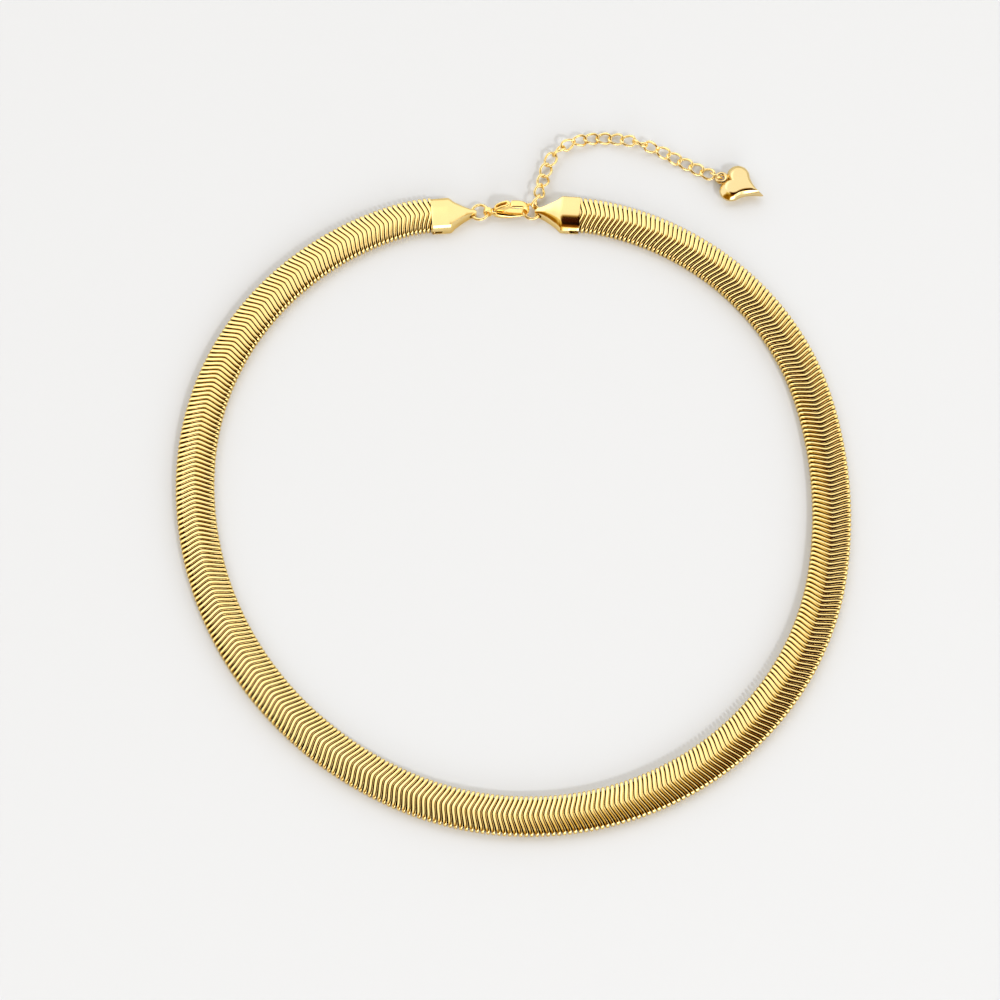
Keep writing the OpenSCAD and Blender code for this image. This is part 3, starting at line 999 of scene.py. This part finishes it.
@dataclass
class Extender:
    """The chain of curb links that hangs on the right ring."""

    fastening: Fastening
    count: int = 19
    long: float = 3.6
    wide: float = 2.85
    wire: float = 0.4
    full: float = 0.54
    twist: float = 0.34
    heart_z: float = 1.4
    rise: float = 0.45
    slack: float = 0.18
    start_out: float = 1.22
    start_way: float = 66

    HEADINGS = ((0.05, 68), (0.16, 78), (0.21, 75), (0.37, 27), (0.47, 11), (0.58, -11), (0.75, -25), (1, -29))
    TURNOVERS = ((0.26, 3), (0.63, 3))
    FIRST_ROLLS = (-90, 40)

    def __post_init__(self) -> None:
        """Works out the pitch and where the links meet."""
        self.pitch = self.long - 2 * self.wire - self.slack
        self.low = self.wire / 2 + self.twist
        ring = self.fastening.ring_place(1).to_translation().to_2d()
        self.joints = [ring + self.start_out * ray(self.start_way)]
        for i in range(1, self.count + 1):
            self.joints.append(self.joints[-1] + self.pitch * ray(self.heading(i)))

    def heading(self, link: int) -> float:
        """Returns the direction of a link on the surface, in degrees."""
        place = link / self.count
        rows = self.HEADINGS
        k = 0
        while k < len(rows) - 2 and place >= rows[k + 1][0]:
            k += 1
        (a, start), (b, end) = rows[k], rows[k + 1]
        return start + (end - start) * (place - a) / (b - a)

    def roll(self, link: int) -> float:
        """Returns how far a link is turned about its own length, in degrees."""
        if 1 <= link <= len(self.FIRST_ROLLS):
            return self.FIRST_ROLLS[link - 1]
        turned = 0.0
        for place, links in self.TURNOVERS:
            turned += min(1, max(0, (link - round(place * self.count)) / links))
        return -180 * turned

    def need(self, link: int) -> float:
        """Returns the least height of a link's middle over the surface."""
        if link > self.count:
            return self.heart_z - self.wire
        roll = self.roll(link)
        return self.wire / 2 + (self.wide - self.wire) / 2 * abs(sin(roll)) + self.twist * abs(cos(roll))

    def height(self, joint: int) -> float:
        """Returns the height at which two links meet."""
        links = range(1, self.count + 2)
        over = [self.need(k) - self.low - self.rise * max(0, joint - k, k - 1 - joint) for k in links]
        return self.low + max(0, *over)

    def place(self, link: int) -> Matrix:
        """Returns the frame of a link: +X along the chain."""
        start, lift = self.joints[link - 1], self.height(link) - self.height(link - 1)
        return (
            Matrix.Translation((start.x, start.y, self.height(link - 1)))
            @ spin(self.heading(link), "Z")
            @ Matrix.Rotation(-math.asin(lift / self.pitch), 4, "Y")
            @ Matrix.Translation((self.pitch / 2, 0, 0))
            @ spin(self.roll(link), "X")
        )

    def link(self, segments: int = 48, sides: int = 12) -> Piece:
        """Models one curb link: a torus drawn out, squeezed and twisted.

        Returns:
            The link, about its own middle.
        """
        Bench.clear()
        bpy.ops.mesh.primitive_torus_add(
            major_segments=segments, minor_segments=sides, major_radius=1, minor_radius=self.full / 2
        )
        piece = Bench.named("link")

        def spot(t: float) -> Vector:
            """Returns the middle of the wire at an angle."""
            half_x, half_y = (self.long - self.full) / 2, (self.wide - self.full) / 2
            return Vector((half_x * cos(t), half_y * sin(t), self.twist * sin(2 * t)))

        shape = bmesh.from_edit_mesh(piece.data)
        for v in shape.verts:
            t = math.degrees(math.atan2(v.co.y, v.co.x))
            radial = Vector((v.co.x, v.co.y)).length - 1
            ahead = (spot(t + 1) - spot(t - 1)).normalized()
            side = ahead.cross(Vector((0, 0, 1))).normalized()
            up = side.cross(ahead)
            v.co = spot(t) + side * radial + up * v.co.z
        bmesh.update_edit_mesh(piece.data)
        Bench.outward(piece)
        return piece

    def build(self) -> None:
        """Models one link and copies it along the chain."""
        pattern = self.link()
        for i in range(1, self.count + 1):
            piece = pattern.copy()
            piece.data = pattern.data.copy()
            bpy.context.collection.objects.link(piece)
            piece.name = piece.data.name = f"curb_link_{i:02d}"
            Bench.seat(piece, self.place(i))
            finish(piece, WIRE, [f"extender_link_{i:02d}"], angle=60)
        bpy.data.objects.remove(pattern)


@dataclass
class HeartDrop:
    """The puffed heart with its soldered loop, and the ring that holds it."""

    extender: Extender
    long: float = 7.9
    wide: float = 8.7
    thick: float = 2.8
    loop_od: float = 2.9
    loop_full: float = 0.95
    loop_reach: float = 1.7
    ring_od: float = 3.05
    ring_wire: float = 0.45
    ring_roll: float = -60
    turn: float = -26
    ring_out: float = 0.18
    ring_side: float = 15
    loop_out: float = 0.42
    centre: float = 0.29
    lobe_share: float = 0.271
    lobe_lift: float = 0.53
    lobe_to: float = 30
    lobe_steps: int = 22
    flank: float = 0.21
    flank_way: Pair = (0.5, -0.87)
    flank_steps: int = 13
    tip_pull: Pair = (0.74, 0.086)

    PUFF = (
        (0.32, 1), (0.5, 0.985), (0.62, 0.965), (0.68, 0.94), (0.72, 0.9), (0.76, 0.83),
        (0.82, 0.7), (0.88, 0.54), (0.94, 0.34), (0.98, 0.17), (1, 0),
    )

    def __post_init__(self) -> None:
        """Works out where the ring and the loop lie."""
        way = self.extender.heading(self.extender.count)
        end = self.extender.joints[-1]
        self.way = way
        self.ring_at = end + self.ring_out * self.extender.long * ray(way + self.ring_side)
        self.loop_at = self.ring_at + self.loop_out * self.loop_od * ray(way)

    def outline(self) -> list[Vector]:
        """Returns the heart's outline from its notch, by way of its point, back to the notch."""
        lobe_r = self.lobe_share * self.wide
        lobe = Vector((self.lobe_lift * lobe_r, self.wide / 2 - lobe_r))
        end = lobe + lobe_r * ray(self.lobe_to)
        one = end + self.flank * self.long * Vector(self.flank_way)
        two = Vector((self.tip_pull[0] * self.long, self.tip_pull[1] * self.wide))
        tip = Vector((self.long, 0))
        notch = 180 + math.degrees(math.acos(lobe.x / lobe_r))
        steps = range(1, self.lobe_steps + 1)
        round_lobe = [notch + (self.lobe_to - notch) * k / self.lobe_steps for k in steps]
        half = [lobe + lobe_r * ray(a) for a in round_lobe]
        for k in range(1, self.flank_steps):
            t = k / self.flank_steps
            half.append((1 - t) ** 3 * end + 3 * (1 - t) ** 2 * t * one + 3 * (1 - t) * t * t * two + t**3 * tip)
        start = Vector((lobe.x + lobe_r * cos(notch), 0))
        return [start] + [Vector((p.x, -p.y)) for p in half] + [tip] + list(reversed(half))

    def build(self) -> None:
        """Models the heart, solders its loop on and hangs it in its ring."""
        outline = self.outline()
        middle = Vector((self.centre * self.long, 0))
        half = [(spread, up * self.thick / 2) for spread, up in self.PUFF]
        rings = []
        for spread, up in [(a, -b) for a, b in half] + half[-2::-1]:
            rings.append([(middle + (p - middle) * spread).to_3d() + Vector((0, 0, up)) for p in outline])
        piece = Bench.loft("heart_drop", rings)
        loop = WireRing("loop", self.loop_od, self.loop_full).model(48, 20)
        Bench.seat(loop, Matrix.Translation((-self.loop_reach, 0, 0)))
        Bench.cut(piece, loop, Cut.TOGETHER)
        place = Matrix.Translation((self.loop_at.x, self.loop_at.y, self.thick / 2))
        Bench.seat(piece, place @ spin(self.turn, "Z") @ Matrix.Translation((self.loop_reach, 0, 0)))
        finish(piece, PUFFED, ["heart_drop"], angle=50)
        ring = WireRing("drop_ring", self.ring_od, self.ring_wire, 90).model()
        place = Matrix.Translation((self.ring_at.x, self.ring_at.y, self.thick / 2))
        Bench.seat(ring, place @ spin(self.way, "Z") @ spin(self.ring_roll, "X"))
        finish(ring, WIRE, ["heart_ring"], angle=60)


@dataclass(frozen=True)
class Patch:
    """A patch of sky for the metal to reflect, from the cosines and brightnesses of its fade."""

    towards: Triple
    fade: tuple[Pair, ...]

    def colour(self, value: float) -> tuple[float, float, float, float]:
        """Returns a brightness as a colour: the dark ones are warm, the bright ones white."""
        return (value, min(value, value**1.55), min(value, value**4), 1)


@dataclass
class Studio:
    """The pale floor, the soft light and the camera, in metres but for the lens."""

    floor_tone: Triple = (0.728, 0.758, 0.798)
    floor_side: float = 6
    floor_under: float = 0.00003
    sky: float = 1.34
    key: float = 27.0
    key_size: float = 0.3
    key_away: float = 3
    lens: float = 84.5
    height_angle: float = 69.36
    distance: float = 0.4694
    aim: ClassVar[Vector] = Vector((-0.00139, 0.00032, 0))
    key_from: ClassVar[Vector] = Vector((1.5, -2.1, 2.2))

    # Dark places first: they draw the lines on the caps and the heart and the shaded flanks of the ribs.
    # The last four are hot and give the white glints.
    PATCHES = (
        Patch((0.2, -0.2, 0.96), ((0.86, 1.0), (0.9, 0.4), (0.93, 0.03))),
        Patch((0.05, -0.62, 0.78), ((0.9, 1.0), (0.94, 0.45), (0.97, 0.12))),
        Patch((-0.6, -0.75, 0.3), ((0.82, 1.0), (0.88, 0.5), (0.94, 0.25))),
        Patch((0.5, -0.08, 0.86), ((0.87, 1.0), (0.92, 0.5), (0.96, 0.15))),
        Patch((-0.5, -0.42, 0.76), ((0.92, 1.0), (0.96, 0.8), (0.98, 0.6))),
        Patch((-0.4, 0.55, 0.73), ((0.92, 1.0), (0.96, 1.3), (0.98, 1.6))),
        Patch((0.15, -0.88, 0.45), ((0.9, 1.0), (0.94, 1.4), (0.97, 1.8))),
        Patch((0.2, -0.96, 0.18), ((0.93, 1.0), (0.97, 1.8), (0.99, 2.6))),
        Patch((0.85, -0.4, 0.3), ((0.9, 1.0), (0.94, 1.5), (0.97, 2.2))),
    )

    def floor(self) -> None:
        """Lays the floor under the necklace."""
        Bench.clear()
        bpy.ops.mesh.primitive_plane_add(size=self.floor_side, location=(0, 0, -self.floor_under))
        floor = bpy.context.active_object
        floor.name = "floor"
        material = bpy.data.materials.new("pale_floor")
        material.use_nodes = True
        shader = material.node_tree.nodes["Principled BSDF"]
        shader.inputs["Base Color"].default_value = (*self.floor_tone, 1)
        shader.inputs["Roughness"].default_value = 0.9
        shader.inputs["Specular IOR Level"].default_value = 0.1
        floor.data.materials.append(material)

    def lights(self) -> None:
        """Sets a bright sky with dark and hot patches in it, and one small key light."""
        world = bpy.data.worlds.new("studio")
        bpy.context.scene.world = world
        world.use_nodes = True
        tree = world.node_tree
        nodes = tree.nodes
        place = nodes.new("ShaderNodeTexCoord")
        back = nodes["Background"]
        back.inputs["Strength"].default_value = self.sky
        tone = None
        for patch in self.PATCHES:
            fade = ((0.0, 1.0), *patch.fade)
            facing = nodes.new("ShaderNodeVectorMath")
            facing.operation = "DOT_PRODUCT"
            facing.inputs[1].default_value = Vector(patch.towards).normalized()
            ramp = nodes.new("ShaderNodeValToRGB")
            stops = ramp.color_ramp.elements
            while len(stops) < len(fade):
                stops.new(0.5)
            for stop, (position, value) in zip(stops, fade):
                stop.position = position
                stop.color = patch.colour(value)
            Grain.join(tree, (place, "Generated", facing, 0), (facing, "Value", ramp, "Fac"))
            shade = ramp.outputs["Color"]
            tone = shade if tone is None else Grain.mix(tree, 1.0, tone, shade, "MULTIPLY")
        tree.links.new(tone, back.inputs["Color"])
        data = bpy.data.lights.new("key", "AREA")
        data.energy = self.key
        data.size = self.key_size
        lamp = bpy.data.objects.new("key", data)
        bpy.context.collection.objects.link(lamp)
        lamp.location = self.key_from.normalized() * self.key_away
        lamp.visible_glossy = False
        lamp.rotation_euler = lamp.location.to_track_quat("Z", "Y").to_euler()

    def camera(self) -> None:
        """Sets the camera up at the height angle and distance of the view."""
        data = bpy.data.cameras.new("view")
        data.lens = self.lens
        data.sensor_width = 36
        data.clip_start = 0.01
        camera = bpy.data.objects.new("view", data)
        bpy.context.collection.objects.link(camera)
        away = Vector((0, -cos(self.height_angle), sin(self.height_angle)))
        camera.location = self.aim + away * self.distance
        camera.rotation_euler = away.to_track_quat("Z", "Y").to_euler()
        bpy.context.scene.camera = camera

    def build(self) -> None:
        """Builds the whole studio."""
        bpy.context.scene.view_settings.view_transform = "Standard"
        self.floor()
        self.lights()
        self.camera()


def main() -> None:
    """Builds the necklace piece by piece."""
    logging.basicConfig(level=logging.INFO, format="%(name)s: %(message)s")
    Studio().build()
    route = Route()
    fastening = Fastening(route)
    extender = Extender(fastening)
    parts = [WovenBand(route, fastening)]
    parts += [EndCap(fastening, side) for side in (-1, 1)]
    parts += [Clasp(fastening), extender, HeartDrop(extender)]
    for part in parts:
        LOG.info("building %s", type(part).__name__)
        part.build()
    for side, name in ((-1, "left"), (1, "right")):
        ring = WireRing(f"ring_{name}", fastening.ring_od, fastening.ring_wire, 90).model()
        Bench.seat(ring, fastening.ring_place(side))
        finish(ring, WIRE, [f"jump_ring_{name}"], angle=60)


if __name__ == "__main__":
    main()
